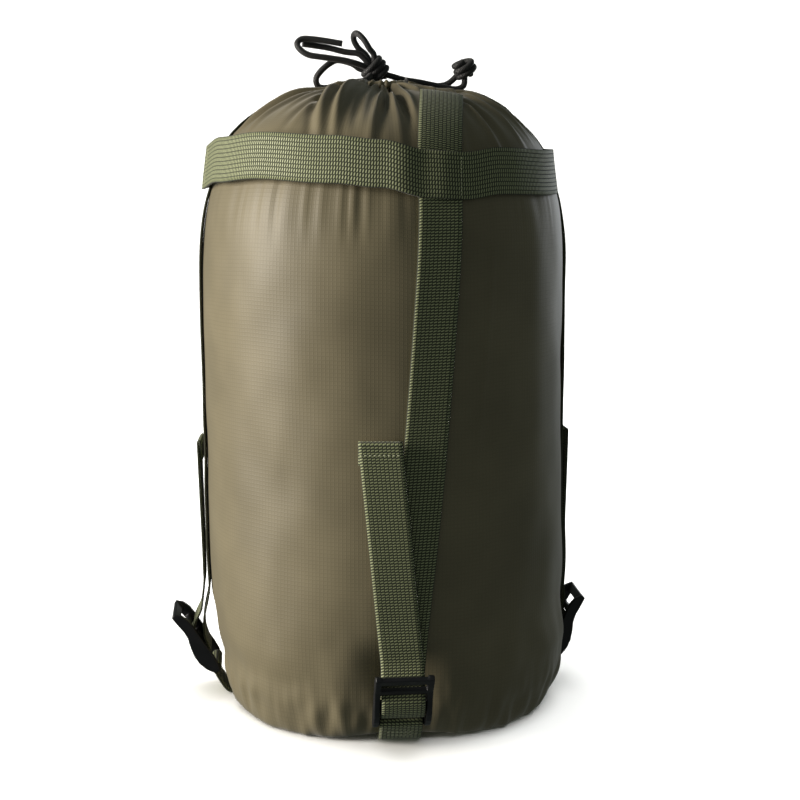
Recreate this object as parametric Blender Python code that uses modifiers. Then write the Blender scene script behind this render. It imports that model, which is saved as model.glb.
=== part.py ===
"""Compression sack: a drawcord fabric sack with four webbing straps and ladder-lock buckles.

Metres, +Z up. The origin is at the middle of the base, on the surface that the sack stands on.
The front strap is at -Y. Each side's pieces are laid out as on the front (x across the strap,
-y outward) and turned about Z.
"""

from math import acos, asin, atan2, cos, exp, pi, radians, sin

import bmesh
import bpy
from mathutils import Matrix, Vector

MM = 0.001
GAP = 0.3 * MM
MERGE = 1e-6

# Sack
SACK_R = 113.7 * MM
BASE_FLAT_R = 93.0 * MM
BASE_LIFT = 4.5 * MM
BASE_CORNER_R = 110.0 * MM
BASE_CORNER_Z = 23.5 * MM
CORNER_START = radians(14.4)
CORNER_ROWS = 5
BASE_TURN_UP = 2 * MM
WALL_FULL_Z = 70 * MM
FABRIC = 1.3 * MM
UPPER_PANEL_R = 111.8 * MM
LOWER_PANEL_TOP_Z = 185 * MM
UPPER_PANEL_BOTTOM_Z = 181 * MM
SHOULDER_R = 107 * MM
SHOULDER_Z = 318 * MM
WAIST_BLEND = 20 * MM
WAIST_START_Z = 270 * MM
WAIST_BEND_Z = 285 * MM
WAIST_ROWS = 5
PANEL_END = 1.5 * MM
DOME_HEIGHT = 62.5 * MM
DOME_POWER = 2.2
DOME_ROWS = 11
ROUND_STEPS = 48

# Grooves that the four straps press into the lower wall
GROOVE_DEPTH = 6.5 * MM
GROOVE_HALF_ANGLE = radians(16)
GROOVE_TOP_Z = 68 * MM
GROOVE_FULL_Z = 45 * MM
GROOVE_START_Z = 5.5 * MM
GROOVE_DEEP_Z = 13 * MM

# Bound seam round the base
BINDING_R = 93.8 * MM
BINDING_Z = 4.8 * MM
BINDING_THICK = 3.0 * MM

# Mouth
MOUTH_R = 12.5 * MM
MOUTH_Z = 379.2 * MM
DOME_HOLE_R = 17.2 * MM
HEM_R = 2.6 * MM
HEM_FABRIC = 0.8 * MM
HEM_ARC = (radians(-25), radians(205))
HEM_ROWS = 8
DOME_START_SHARE = 0.006
CORD_R = 1.9 * MM

# Webbing
WEB_WIDTH = 25 * MM
WEB = 1.3 * MM
HOOP_BOTTOM_Z = 319 * MM
HOOP_HEIGHT = 26 * MM
HOOP_BOTTOM_R = 111.2 * MM
HOOP_TOP_R = 108.5 * MM
DOME_STRAP_START_SHARE = 0.014
DOME_STRAP_ROWS = 10
DOME_STRAP_OFF = 1.1 * MM
STRAP_OFF_WALL = GAP + WEB / 2
STRAP_WALL_Z = 72 * MM
STRAP_TOP_Z = 317.2 * MM
STRAP_ROWS = 6
STRAP_FOOT_ROWS = 6

# Base straps: the loop round a buckle's bar, the way under the seam, and the crossing
LOOP_ARC = (radians(238), radians(-50))
LOOP_ROWS = 13
STRAP_UNDER_SEAM = [(101.5 * MM, 3.8 * MM), (95.5 * MM, 1.6 * MM), (89 * MM, WEB / 2)]
STRAP_CROSS_START_R = 24 * MM
STRAP_CROSS_R = 14.5 * MM

# Ladder-lock buckle, in millimetres: s runs along it from the bottom bar, n out from it
RAIL_INNER_T = 13.3 * MM
RAIL_OUTER_T = 16.6 * MM
RAIL_OUTER_EDGE = [
    (-2.2, 1.8), (3, 5.4), (8.5, 7.2), (14, 7.6), (20, 6.6), (26, 5.0), (31, 4.8), (37, 5.8),
    (43, 6.6),
]
RAIL_INNER_EDGE = [
    (44.2, 4.2), (41, 0.6), (36, -1.4), (30, -2.0), (22, -2.2), (15, -2.6), (8, -3.0), (2, -2.8),
    (-1.7, -1.8),
]
BOTTOM_BAR_R = 1.7 * MM
BAR_SPAN = 27.4 * MM
BAR_ROUNDING = 0.7 * MM
# Flat bars: middle of the bar (s, n), size along s and n, tilt
FLAT_BARS = {
    "middle": ((18.2, 2.4), (7.0, 2.6), 0),
    "upper": ((30.4, 2.7), (4.0, 3.0), 8),
    "thumb": ((40.8, 4.6), (5.4, 2.8), 14),
}

# The webbing's way through the buckle, as (s, n) in millimetres
WRAP_ROUTE = [
    (27.5, -7.2), (22, -4.4), (16, -2.9), (12, -2.2), (9.6, -0.6), (9.3, 2.2), (10.4, 5.0),
    (13.8, 6.2), (18.5, 6.4), (23.4, 5.6), (25.8, 3.2), (27.2, 0.2), (29.7, -1.6), (32.5, -4.6),
]

SIDES = {"front": 0, "right": 90, "back": 180, "left": 270}
# Each buckle's bottom bar, as (r, z), and how far the buckle leans out in degrees
BARS = {
    "front": (107.5 * MM, 15.5 * MM, 30),
    "right": (107.0 * MM, 19.5 * MM, 20),
    "back": (107.5 * MM, 15.5 * MM, 30),
    "left": (107.5 * MM, 18.5 * MM, 30),
}
# How far round the sack each strap's top lies from its buckle, in degrees
STRAP_SLANT = {"front": 12, "right": 2, "back": -3, "left": 0}
# Where the straps on the dome end: how far across, and how far from the sack's middle
DOME_STRAP_ENDS = {
    "front": (30 * MM, 52 * MM),
    "right": (26 * MM, 64 * MM),
    "back": (-24 * MM, 56 * MM),
    "left": (-26 * MM, 62 * MM),
}
TAIL_TOP_Z = {"front": 180 * MM, "right": 166 * MM, "back": 170 * MM, "left": 162 * MM}
TAIL_SLANT = {"front": -6, "right": 3, "back": 4, "left": -3}
TAIL_ROOT_R = {"front": 116.2 * MM, "right": 115.0 * MM, "back": 116.2 * MM, "left": 116.2 * MM}
TAIL_ROOT_OVER_BAR = 38.3 * MM
# The wrap stops short of the tail, so that the tail can swing out
WRAP_END_GAP = 1.3 * MM
WRAP_END_OUT = 0.5 * MM
TAIL_CLEAR_Z = 74 * MM
TAIL_CLEAR_R = 116.6 * MM
TAIL_FLARE = 2.1 * MM
TAIL_FLARE_START_Z = 60 * MM
TAIL_FLARE_LENGTH = 120 * MM
TAIL_ROWS = 8
TAIL_END_ROWS = 3
TAIL_HEM = 13 * MM
TAB_STITCH_SHARE = 0.38
TAB_STITCH_SIZE = (16 * MM, 4 * MM, 0.5 * MM)
HOOP_STITCH_SIZE = (2.2 * MM, 0.5 * MM, 21 * MM)

# Drawcord routes, from one held end to the other
CORD_ROUTES = {
    "drawcord_arch": [
        (-0.0106, 0.0124, 0.3832), (-0.0182, 0.0200, 0.3823), (-0.0267, 0.0262, 0.3804),
        (-0.0344, 0.0265, 0.3792), (-0.0387, 0.0228, 0.3803), (-0.0397, 0.0208, 0.3849),
        (-0.0354, 0.0210, 0.3906), (-0.0292, 0.0218, 0.3950), (-0.0249, 0.0222, 0.3957),
        (-0.0174, 0.0228, 0.3938), (-0.0121, 0.0232, 0.3905),
    ],
    "drawcord_run_lower": [
        (0.0152, 0.0112, 0.3833), (0.0233, 0.0160, 0.3825), (0.0318, 0.0185, 0.3810),
        (0.0403, 0.0190, 0.3795), (0.0468, 0.0190, 0.3784), (0.0511, 0.0191, 0.3797),
        (0.0526, 0.0196, 0.3822),
    ],
    "drawcord_run_upper": [
        (0.0436, 0.0224, 0.3826), (0.0388, 0.0232, 0.3808), (0.0303, 0.0240, 0.3808),
        (0.0218, 0.0236, 0.3824), (0.0113, 0.0228, 0.3852), (0.0061, 0.0224, 0.3866),
    ],
    "drawcord_bow_loop": [
        (-0.0087, 0.0258, 0.3996), (-0.0132, 0.0264, 0.4035), (-0.0160, 0.0258, 0.4085),
        (-0.0158, 0.0225, 0.4118), (-0.0137, 0.0185, 0.4115), (-0.0100, 0.0168, 0.4075),
        (-0.0067, 0.0175, 0.4023), (-0.0042, 0.0190, 0.3994),
    ],
    "drawcord_end_long": [
        (-0.0124, 0.0178, 0.3928), (-0.0182, 0.0165, 0.3944), (-0.0249, 0.0160, 0.3958),
        (-0.0373, 0.0155, 0.3974), (-0.0447, 0.0155, 0.3986), (-0.0497, 0.0163, 0.4018),
        (-0.0514, 0.0180, 0.4054), (-0.0487, 0.0192, 0.4082), (-0.0435, 0.0192, 0.4084),
        (-0.0348, 0.0190, 0.4074), (-0.0236, 0.0188, 0.4056),
    ],
    "drawcord_end_short": [
        (-0.0107, 0.0215, 0.3977), (-0.0142, 0.0215, 0.4000), (-0.0218, 0.0222, 0.4009),
        (-0.0314, 0.0228, 0.4032), (-0.0402, 0.0228, 0.4046), (-0.0482, 0.0228, 0.4056),
    ],
}
CORD_STEP = 5 * MM
# Knots: middle, half sizes, tilt about Y
KNOTS = {
    "slip_knot": ((-0.0029, 0.0215, 0.3893), (0.0078, 0.0056, 0.0086), radians(20)),
    "stopper_knot": ((0.0528, 0.0205, 0.3911), (0.0070, 0.0058, 0.0076), radians(-15)),
}


# ---------------------------------------------------------------- scene, materials

for left_over in list(bpy.data.objects):
    bpy.data.objects.remove(left_over)

parts = bpy.data.collections.new("compression_sack")
helpers = bpy.data.collections.new("helpers")
for group in (parts, helpers):
    bpy.context.scene.collection.children.link(group)


def finish_of(name, colour, roughness):
    """A plain non-metal material."""
    made = bpy.data.materials.new(name)
    made.use_nodes = True
    shader = made.node_tree.nodes["Principled BSDF"]
    shader.inputs["Base Color"].default_value = (*colour, 1)
    shader.inputs["Roughness"].default_value = roughness
    shader.inputs["Metallic"].default_value = 0
    return made


def add(name, data, colour, roughness, origin=(0, 0, 0), turn=None, parent=None):
    """Puts a mesh or a curve in the scene as one piece of the sack."""
    made = bpy.data.objects.new(name, data)
    place = Matrix.Translation(origin)
    made.matrix_world = place @ turn if turn else place
    if parent:
        made.parent = parent
    data.materials.append(finish_of(name, colour, roughness))
    parts.objects.link(made)
    return made


FABRIC_COLOUR, FABRIC_ROUGH = (0.13, 0.115, 0.068), 0.55
WEB_COLOUR, WEB_ROUGH = (0.10, 0.12, 0.05), 0.8
ACETAL_COLOUR, ACETAL_ROUGH = (0.012, 0.013, 0.017), 0.4
CORD_COLOUR, CORD_ROUGH = (0.010, 0.010, 0.012), 0.7
THREAD_COLOUR, THREAD_ROUGH = (0.11, 0.12, 0.06), 0.7


# ---------------------------------------------------------------- shapes

def spread(first, last, count):
    return [first + (last - first) * index / (count - 1) for index in range(count)]


def smooth_step(share):
    share = min(max(share, 0), 1)
    return share * share * (3 - 2 * share)


def mesh_from(bm, name):
    mesh = bpy.data.meshes.new(name)
    bm.to_mesh(mesh)
    bm.free()
    mesh.shade_smooth()
    return mesh


def thicken(piece, thickness):
    """Gives an open surface its wall, half to each side."""
    wall = piece.modifiers.new("wall", "SOLIDIFY")
    wall.thickness = thickness
    wall.offset = 0
    wall.use_even_offset = True


def turned(profile, new_r=None):
    """An open surface turned about Z from (r, z) points; new_r(angle, r, z) may move them in or out."""
    bm = bmesh.new()
    line = [bm.verts.new((r, 0, z)) for r, z in profile]
    edges = [bm.edges.new(pair) for pair in zip(line, line[1:])]
    bmesh.ops.spin(bm, geom=line + edges, cent=(0, 0, 0), axis=(0, 0, 1), angle=2 * pi,
                   steps=ROUND_STEPS, use_merge=True)
    bmesh.ops.remove_doubles(bm, verts=bm.verts, dist=MERGE)
    bmesh.ops.recalc_face_normals(bm, faces=bm.faces)
    if new_r:
        for vert in bm.verts:
            angle = atan2(vert.co.y, vert.co.x)
            vert.co.xy *= new_r(angle, vert.co.xy.length, vert.co.z) / vert.co.xy.length
    return mesh_from(bm, "turned")


def ribbon(rows):
    """An open strip through pairs of points, one on each selvedge."""
    bm = bmesh.new()
    line = [bm.verts.new(row[0]) for row in rows]
    edges = [bm.edges.new(pair) for pair in zip(line, line[1:])]
    opposite = {vert: row[1] for vert, row in zip(line, rows)}
    made = bmesh.ops.extrude_edge_only(bm, edges=edges)["geom"]
    for vert in [item for item in made if isinstance(item, bmesh.types.BMVert)]:
        partner = [edge.other_vert(vert) for edge in vert.link_edges if edge.other_vert(vert) in opposite]
        vert.co = opposite[partner[0]]
    return mesh_from(bm, "ribbon")


def block(size, place):
    """A small box of this size, put in place by a matrix."""
    bm = bmesh.new()
    bmesh.ops.create_cube(bm, size=1)
    bmesh.ops.scale(bm, verts=bm.verts, vec=size)
    bmesh.ops.transform(bm, verts=bm.verts, matrix=place)
    return mesh_from(bm, "block")


def tube(points, radius, closed=False):
    """A round cord along these points."""
    curve = bpy.data.curves.new("tube", "CURVE")
    curve.dimensions = "3D"
    line = curve.splines.new("POLY")
    line.points.add(len(points) - 1)
    for place, point in zip(line.points, points):
        place.co = (*point, 1)
    line.use_cyclic_u = closed
    curve.bevel_depth = radius
    curve.bevel_resolution = 2
    curve.use_fill_caps = not closed
    return curve


def ring(radius, z):
    """Points round a level circle about Z."""
    turns = spread(0, 2 * pi, ROUND_STEPS + 1)[:-1]
    return [(radius * cos(turn), radius * sin(turn), z) for turn in turns]


def smooth_route(points, step):
    """Points about a step apart on the smooth curve through the route's own points."""
    known = [Vector(point) for point in points]
    ends = [2 * known[0] - known[1], *known, 2 * known[-1] - known[-2]]
    route = []
    for before, start, end, after in zip(ends, ends[1:], ends[2:], ends[3:]):
        count = max(1, round((end - start).length / step))
        for index in range(count):
            t = index / count
            bend = (2 * before - 5 * start + 4 * end - after) * t * t
            bend += (3 * start - before - 3 * end + after) * t ** 3
            route.append(start + ((end - before) * t + bend) / 2)
    return [*route, known[-1]]


# ---------------------------------------------------------------- layout

def around(angle):
    return Matrix.Rotation(angle, 4, "Z")


def webbing_rows(path, angle, origin=(0, 0, 0)):
    """Selvedge points of a strap along (r, z, slant) places on a side.

    The slant turns a place further about Z, in degrees.
    """
    rows = []
    for r, z, slant in path:
        turn = around(angle + radians(slant))
        rows.append([turn @ Vector((edge * WEB_WIDTH / 2, -r, z)) - Vector(origin) for edge in (-1, 1)])
    return rows


def on_buckle(side, s, n):
    """(r, z) of a place on a side's leaning buckle, from millimetres along it and out from it."""
    r, z, lean = BARS[side]
    r += (s * sin(radians(lean)) + n * cos(radians(lean))) * MM
    z += (s * cos(radians(lean)) - n * sin(radians(lean))) * MM
    return r, z


def grooved_r(angle, r, z):
    """The lower wall's radius, pressed in behind each strap."""
    blend = smooth_step((GROOVE_TOP_Z - z) / (GROOVE_TOP_Z - GROOVE_FULL_Z))
    blend *= smooth_step((z - GROOVE_START_Z) / (GROOVE_DEEP_Z - GROOVE_START_Z))
    from_strap = (angle + pi / 4) % (pi / 2) - pi / 4
    return r - GROOVE_DEPTH * blend * exp(-((from_strap / GROOVE_HALF_ANGLE) ** 2))


def wall_r(z):
    """Outer radius of the sack's side at a height, away from the grooves."""
    if z < BASE_CORNER_Z:
        drop = (BASE_CORNER_Z - z) / (BASE_CORNER_Z - BASE_LIFT)
        return BASE_FLAT_R + (BASE_CORNER_R - BASE_FLAT_R) * (1 - drop * drop) ** 0.5
    if z < WALL_FULL_Z:
        share = (z - BASE_CORNER_Z) / (WALL_FULL_Z - BASE_CORNER_Z)
        return BASE_CORNER_R + (SACK_R - BASE_CORNER_R) * sin(share * pi / 2)
    return SACK_R - (SACK_R - SHOULDER_R) * exp((z - SHOULDER_Z) / WAIST_BLEND)


def dome_point(share, out=0.0):
    """(r, z) on the dome from the shoulder (0) to its top (1), moved out along its normal."""
    turn = share * pi / 2
    r, z = SHOULDER_R * cos(turn) ** (2 / DOME_POWER), DOME_HEIGHT * sin(turn) ** (2 / DOME_POWER)
    normal = Vector(((r / SHOULDER_R) ** (DOME_POWER - 1) / SHOULDER_R,
                     (z / DOME_HEIGHT) ** (DOME_POWER - 1) / DOME_HEIGHT)).normalized()
    return r + normal.x * out, SHOULDER_Z + z + normal.y * out


def dome_share(r):
    """How far up the dome its radius is r."""
    return acos((r / SHOULDER_R) ** (DOME_POWER / 2)) / (pi / 2)


# ---------------------------------------------------------------- sack

top_slide = bpy.data.objects.new("top_slide", None)
parts.objects.link(top_slide)


def add_fabric(name, mesh, parent=None):
    thicken(add(name, mesh, FABRIC_COLOUR, FABRIC_ROUGH, parent=parent), FABRIC)


def add_webbing(name, path, angle, origin=(0, 0, 0), parent=None):
    mesh = ribbon(webbing_rows(path, angle, origin))
    thicken(add(name, mesh, WEB_COLOUR, WEB_ROUGH, origin, parent=parent), WEB)


def make_base():
    half = FABRIC / 2
    corner = BASE_CORNER_Z - BASE_LIFT
    heights = [BASE_CORNER_Z - corner * cos(turn) for turn in spread(CORNER_START, pi / 2, CORNER_ROWS)]
    heights += [*spread(BASE_CORNER_Z, WALL_FULL_Z, CORNER_ROWS)[1:], LOWER_PANEL_TOP_Z]
    add_fabric("side_panel_lower", turned([(wall_r(z) - half, z) for z in heights], grooved_r))
    disc = [(0, BASE_LIFT + half), (BASE_FLAT_R - BASE_TURN_UP, BASE_LIFT + half)]
    add_fabric("base_panel", turned(disc))
    binding = tube(ring(BINDING_R, BINDING_Z), BINDING_THICK / 2, closed=True)
    add("base_seam_binding", binding, FABRIC_COLOUR, FABRIC_ROUGH)


def make_top():
    half = FABRIC / 2
    heights = [UPPER_PANEL_BOTTOM_Z, *spread(WAIST_START_Z, SHOULDER_Z - PANEL_END, WAIST_ROWS)]
    wall = [(min(wall_r(z), UPPER_PANEL_R) - half, z) for z in heights]
    add_fabric("side_panel_upper", turned(wall), top_slide)
    shares = spread(DOME_START_SHARE, dome_share(DOME_HOLE_R), DOME_ROWS)
    add_fabric("dome_panel", turned([dome_point(share, -half) for share in shares]), top_slide)
    turns = spread(*HEM_ARC, HEM_ROWS)
    arc = [(MOUTH_R + HEM_R * cos(turn), MOUTH_Z + HEM_R * sin(turn)) for turn in turns]
    hem = add("mouth_hem", turned(arc), FABRIC_COLOUR, FABRIC_ROUGH, parent=top_slide)
    thicken(hem, HEM_FABRIC)
    cord = tube(ring(MOUTH_R, MOUTH_Z), CORD_R, closed=True)
    add("drawcord_ring", cord, CORD_COLOUR, CORD_ROUGH, parent=top_slide)
    hoop = turned([(HOOP_BOTTOM_R, HOOP_BOTTOM_Z), (HOOP_TOP_R, HOOP_BOTTOM_Z + HOOP_HEIGHT)])
    thicken(add("shoulder_hoop", hoop, WEB_COLOUR, WEB_ROUGH, parent=top_slide), WEB)


def bar_loop(side):
    """The way of a base strap's end round a bottom bar and down to the seam, as (r, z)."""
    bar_r, bar_z, lean = BARS[side]
    loop_r = BOTTOM_BAR_R + GAP + WEB / 2
    turns = spread(*LOOP_ARC, LOOP_ROWS)
    return [(bar_r + loop_r * cos(turn), bar_z + loop_r * sin(turn)) for turn in turns] + STRAP_UNDER_SEAM


def make_base_straps():
    """Two straps that cross under the base, each from one buckle to the one opposite."""
    over = [(STRAP_CROSS_START_R, WEB / 2), (STRAP_CROSS_R, WEB * 1.5 + 1.2 * GAP)]
    for start, end, middle in (("front", "back", []), ("right", "left", over)):
        path = [(r, z, 0) for r, z in bar_loop(start) + middle]
        path += [(-r, z, 0) for r, z in reversed(bar_loop(end) + middle)]
        name = "base_strap_front_back" if start == "front" else "base_strap_left_right"
        add_webbing(name, path, radians(SIDES[start]))


def make_drawcord():
    for name, route in CORD_ROUTES.items():
        add(name, tube(smooth_route(route, CORD_STEP), CORD_R), CORD_COLOUR, CORD_ROUGH, parent=top_slide)
    for name, (middle, half_sizes, tilt) in KNOTS.items():
        bm = bmesh.new()
        bmesh.ops.create_uvsphere(bm, u_segments=12, v_segments=8, radius=1)
        bmesh.ops.scale(bm, verts=bm.verts, vec=half_sizes)
        place = Matrix.Translation(middle) @ Matrix.Rotation(tilt, 4, "Y")
        bmesh.ops.transform(bm, verts=bm.verts, matrix=place)
        add(name, mesh_from(bm, name), CORD_COLOUR, CORD_ROUGH, parent=top_slide)


# ---------------------------------------------------------------- buckle

def rail(left, right):
    """One S-shaped side rail of the buckle: its outline, pulled out across the strap."""
    bm = bmesh.new()
    outline = [bm.verts.new((left, -n * MM, s * MM)) for s, n in RAIL_OUTER_EDGE + RAIL_INNER_EDGE]
    made = bmesh.ops.extrude_face_region(bm, geom=[bm.faces.new(outline)])["geom"]
    bmesh.ops.translate(bm, verts=[item for item in made if isinstance(item, bmesh.types.BMVert)],
                        vec=(right - left, 0, 0))
    bmesh.ops.recalc_face_normals(bm, faces=bm.faces)
    return mesh_from(bm, "rail")


def bottom_bar():
    bm = bmesh.new()
    bmesh.ops.create_cone(bm, cap_ends=True, segments=16, radius1=BOTTOM_BAR_R, radius2=BOTTOM_BAR_R,
                          depth=BAR_SPAN)
    bmesh.ops.rotate(bm, verts=bm.verts, cent=(0, 0, 0), matrix=Matrix.Rotation(pi / 2, 3, "Y"))
    return mesh_from(bm, "bottom_bar")


def flat_bar(middle, size, tilt):
    """A cross bar between the rails with its long edges taken off."""
    bm = bmesh.new()
    bmesh.ops.create_cube(bm, size=1)
    bmesh.ops.scale(bm, verts=bm.verts, vec=(BAR_SPAN, size[1] * MM, size[0] * MM))
    long_edges = [edge for edge in bm.edges if edge.calc_length() > BAR_SPAN / 2]
    bmesh.ops.bevel(bm, geom=long_edges, offset=BAR_ROUNDING, segments=2, profile=0.5,
                    affect="EDGES", material=-1)
    place = Matrix.Translation((0, -middle[1] * MM, middle[0] * MM))
    bmesh.ops.transform(bm, verts=bm.verts, matrix=place @ Matrix.Rotation(radians(tilt), 4, "X"))
    return mesh_from(bm, "flat_bar")


def buckle_mesh():
    """The moulded buckle in its own frame: x across and along the bottom bar, -y out, z along it."""
    body = bpy.data.objects.new("buckle_body", rail(RAIL_INNER_T, RAIL_OUTER_T))
    helpers.objects.link(body)
    others = {"left_rail": rail(-RAIL_OUTER_T, -RAIL_INNER_T), "bottom_bar": bottom_bar()}
    others |= {name: flat_bar(*bar) for name, bar in FLAT_BARS.items()}
    for name, mesh in others.items():
        helper = bpy.data.objects.new("buckle_" + name, mesh)
        helpers.objects.link(helper)
        helper.display_type = "WIRE"
        helper.hide_render = True
        join = body.modifiers.new(name, "BOOLEAN")
        join.operation = "UNION"
        join.object = helper
    # The left rail joins last, once the bars reach it.
    body.modifiers.move(0, len(body.modifiers) - 1)
    joined = body.evaluated_get(bpy.context.evaluated_depsgraph_get())
    mesh = bpy.data.meshes.new_from_object(joined)
    bpy.data.objects.remove(body)
    return mesh


# ---------------------------------------------------------------- sides

def strap_r(z):
    return wall_r(z) + STRAP_OFF_WALL


def make_side(side, degrees, mesh):
    angle = radians(degrees)
    bar_r, bar_z, lean = BARS[side]
    bar = around(angle) @ Vector((0, -bar_r, bar_z))
    turn = around(angle) @ Matrix.Rotation(radians(lean), 4, "X")
    add(side + "_buckle", mesh.copy(), ACETAL_COLOUR, ACETAL_ROUGH, bar, turn)
    root_r, root_z = TAIL_ROOT_R[side], bar_z + TAIL_ROOT_OVER_BAR
    wrap = [on_buckle(side, s, n) for s, n in WRAP_ROUTE]
    wrap.append((root_r + WRAP_END_OUT, root_z - WRAP_END_GAP))
    add_webbing(side + "_strap_wrap", [(r, z, 0) for r, z in wrap], angle, bar)
    make_standing_strap(side, angle)
    make_dome_strap(side, angle)

    root = around(angle) @ Vector((0, -root_r, root_z))
    top = TAIL_TOP_Z[side]
    slant = TAIL_SLANT[side] / (top - root_z)
    path = [(tail_r(side, z), z, slant * (z - root_z)) for z in spread(root_z, top, TAIL_ROWS)]
    add_webbing(side + "_tail", path, angle, root)
    heights = spread(top - TAIL_HEM, top, TAIL_END_ROWS)
    path = [(tail_r(side, z) - WEB - GAP, z, TAIL_SLANT[side]) for z in heights]
    add_webbing(side + "_tail_end", path, angle, root)
    make_stitching(side, angle)


def standing_r(side, z):
    """The strap leaves the buckle in the groove and comes out to the wall."""
    foot_r, foot_z = on_buckle(side, *WRAP_ROUTE[0])
    share = smooth_step((z - foot_z) / (STRAP_WALL_Z - foot_z))
    in_groove = grooved_r(0, strap_r(z), z) + GAP * (1 - share)
    return max(foot_r + (strap_r(z) - foot_r) * share, in_groove)


def make_standing_strap(side, angle):
    """From just above the buckle up to the hoop."""
    foot_z = on_buckle(side, *WRAP_ROUTE[0])[1] + 2 * GAP
    heights = spread(foot_z, STRAP_WALL_Z, STRAP_FOOT_ROWS)[:-1]
    heights += spread(STRAP_WALL_Z, WAIST_START_Z, STRAP_ROWS)
    heights += spread(WAIST_BEND_Z, STRAP_TOP_Z, WAIST_ROWS)
    slant = STRAP_SLANT[side] / (STRAP_TOP_Z - foot_z)
    path = [(standing_r(side, z), z, slant * (z - foot_z)) for z in heights]
    add_webbing(side + "_standing_strap", path, angle, parent=top_slide)


def make_dome_strap(side, angle):
    """Straight over the dome in plan, in rows that each stay at one height."""
    start_r = dome_point(DOME_STRAP_START_SHARE)[0]
    start_x = start_r * sin(radians(STRAP_SLANT[side]))
    end_x, end_r = DOME_STRAP_ENDS[side]
    bm = bmesh.new()
    bmesh.ops.create_grid(bm, x_segments=4, y_segments=DOME_STRAP_ROWS, size=0.5)
    for vert in bm.verts:
        share = DOME_STRAP_START_SHARE
        share += (dome_share(end_r) - share) * (vert.co.y + 0.5)
        r, z = dome_point(share, DOME_STRAP_OFF)
        middle = start_x + (end_x - start_x) * (start_r - r) / (start_r - end_r)
        turn = asin((middle + WEB_WIDTH * vert.co.x) / r)
        vert.co = around(angle + turn) @ Vector((0, -r, z))
    strap = add(side + "_dome_strap", mesh_from(bm, "strap"), WEB_COLOUR, WEB_ROUGH, parent=top_slide)
    thicken(strap, WEB)


def tail_r(side, z):
    """The tail lies close to the strap above the buckle, then stands off further up."""
    root_z = BARS[side][1] + TAIL_ROOT_OVER_BAR
    clear = smooth_step((z - root_z) / (TAIL_CLEAR_Z - root_z))
    flare = TAIL_FLARE * smooth_step((z - TAIL_FLARE_START_Z) / TAIL_FLARE_LENGTH)
    r = TAIL_ROOT_R[side] + (TAIL_CLEAR_R - TAIL_ROOT_R[side]) * clear + flare
    return max(r, standing_r(side, z) + WEB + 2 * GAP)


def make_stitching(side, angle):
    (top_r, top_z), (low_r, low_z) = bar_loop(side)[LOOP_ROWS - 1:LOOP_ROWS + 1]
    slope = atan2(top_z - low_z, top_r - low_r)
    out = WEB / 2 + GAP + TAB_STITCH_SIZE[2] / 2
    r = low_r + (top_r - low_r) * TAB_STITCH_SHARE + out * sin(slope)
    z = low_z + (top_z - low_z) * TAB_STITCH_SHARE - out * cos(slope)
    tab = around(angle) @ Matrix.Translation((0, -r, z)) @ Matrix.Rotation(-slope, 4, "X")
    add(side + "_tab_stitching", block(TAB_STITCH_SIZE, tab), THREAD_COLOUR, THREAD_ROUGH)
    beside = radians(STRAP_SLANT[side]) + (WEB_WIDTH / 2) / HOOP_BOTTOM_R
    lean = atan2(HOOP_BOTTOM_R - HOOP_TOP_R, HOOP_HEIGHT)
    r = (HOOP_BOTTOM_R + HOOP_TOP_R) / 2 + WEB / 2 + GAP + HOOP_STITCH_SIZE[1] / 2
    middle = Matrix.Translation((0, -r, HOOP_BOTTOM_Z + HOOP_HEIGHT / 2))
    tack = around(angle + beside) @ middle @ Matrix.Rotation(-lean, 4, "X")
    tack_box = block(HOOP_STITCH_SIZE, tack)
    add(side + "_hoop_stitching", tack_box, THREAD_COLOUR, THREAD_ROUGH, parent=top_slide)


make_base()
make_top()
make_base_straps()
make_drawcord()
ladder_lock = buckle_mesh()
for side_name, side_degrees in SIDES.items():
    make_side(side_name, side_degrees, ladder_lock)
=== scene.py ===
"""Compression sack: looks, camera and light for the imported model.

Metres, +Z up, front strap at -Y. Angles run round the sack from the front strap towards +X, in degrees where
they are written down. Each side's pieces are laid out as on the front and turned about Z.
"""

from math import acos, atan2, cos, exp, log, pi, radians, sin

import bmesh
import bpy
from mathutils import Matrix, Vector, noise


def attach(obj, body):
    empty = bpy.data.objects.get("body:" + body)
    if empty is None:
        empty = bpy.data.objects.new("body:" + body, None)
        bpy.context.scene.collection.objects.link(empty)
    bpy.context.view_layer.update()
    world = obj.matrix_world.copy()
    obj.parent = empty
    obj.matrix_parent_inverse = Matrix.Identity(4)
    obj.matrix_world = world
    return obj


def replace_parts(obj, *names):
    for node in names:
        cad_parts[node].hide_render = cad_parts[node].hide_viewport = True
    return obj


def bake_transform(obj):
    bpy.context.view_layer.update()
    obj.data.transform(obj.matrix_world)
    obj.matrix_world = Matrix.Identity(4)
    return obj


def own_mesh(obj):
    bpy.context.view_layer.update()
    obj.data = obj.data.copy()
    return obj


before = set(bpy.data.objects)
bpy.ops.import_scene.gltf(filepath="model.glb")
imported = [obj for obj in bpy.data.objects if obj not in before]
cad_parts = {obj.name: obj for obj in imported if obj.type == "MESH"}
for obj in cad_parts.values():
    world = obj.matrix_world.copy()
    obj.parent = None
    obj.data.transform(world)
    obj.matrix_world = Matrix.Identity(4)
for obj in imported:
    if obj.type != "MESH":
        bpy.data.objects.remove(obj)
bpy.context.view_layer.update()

MM = 0.001
MERGE = 1e-6

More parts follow.
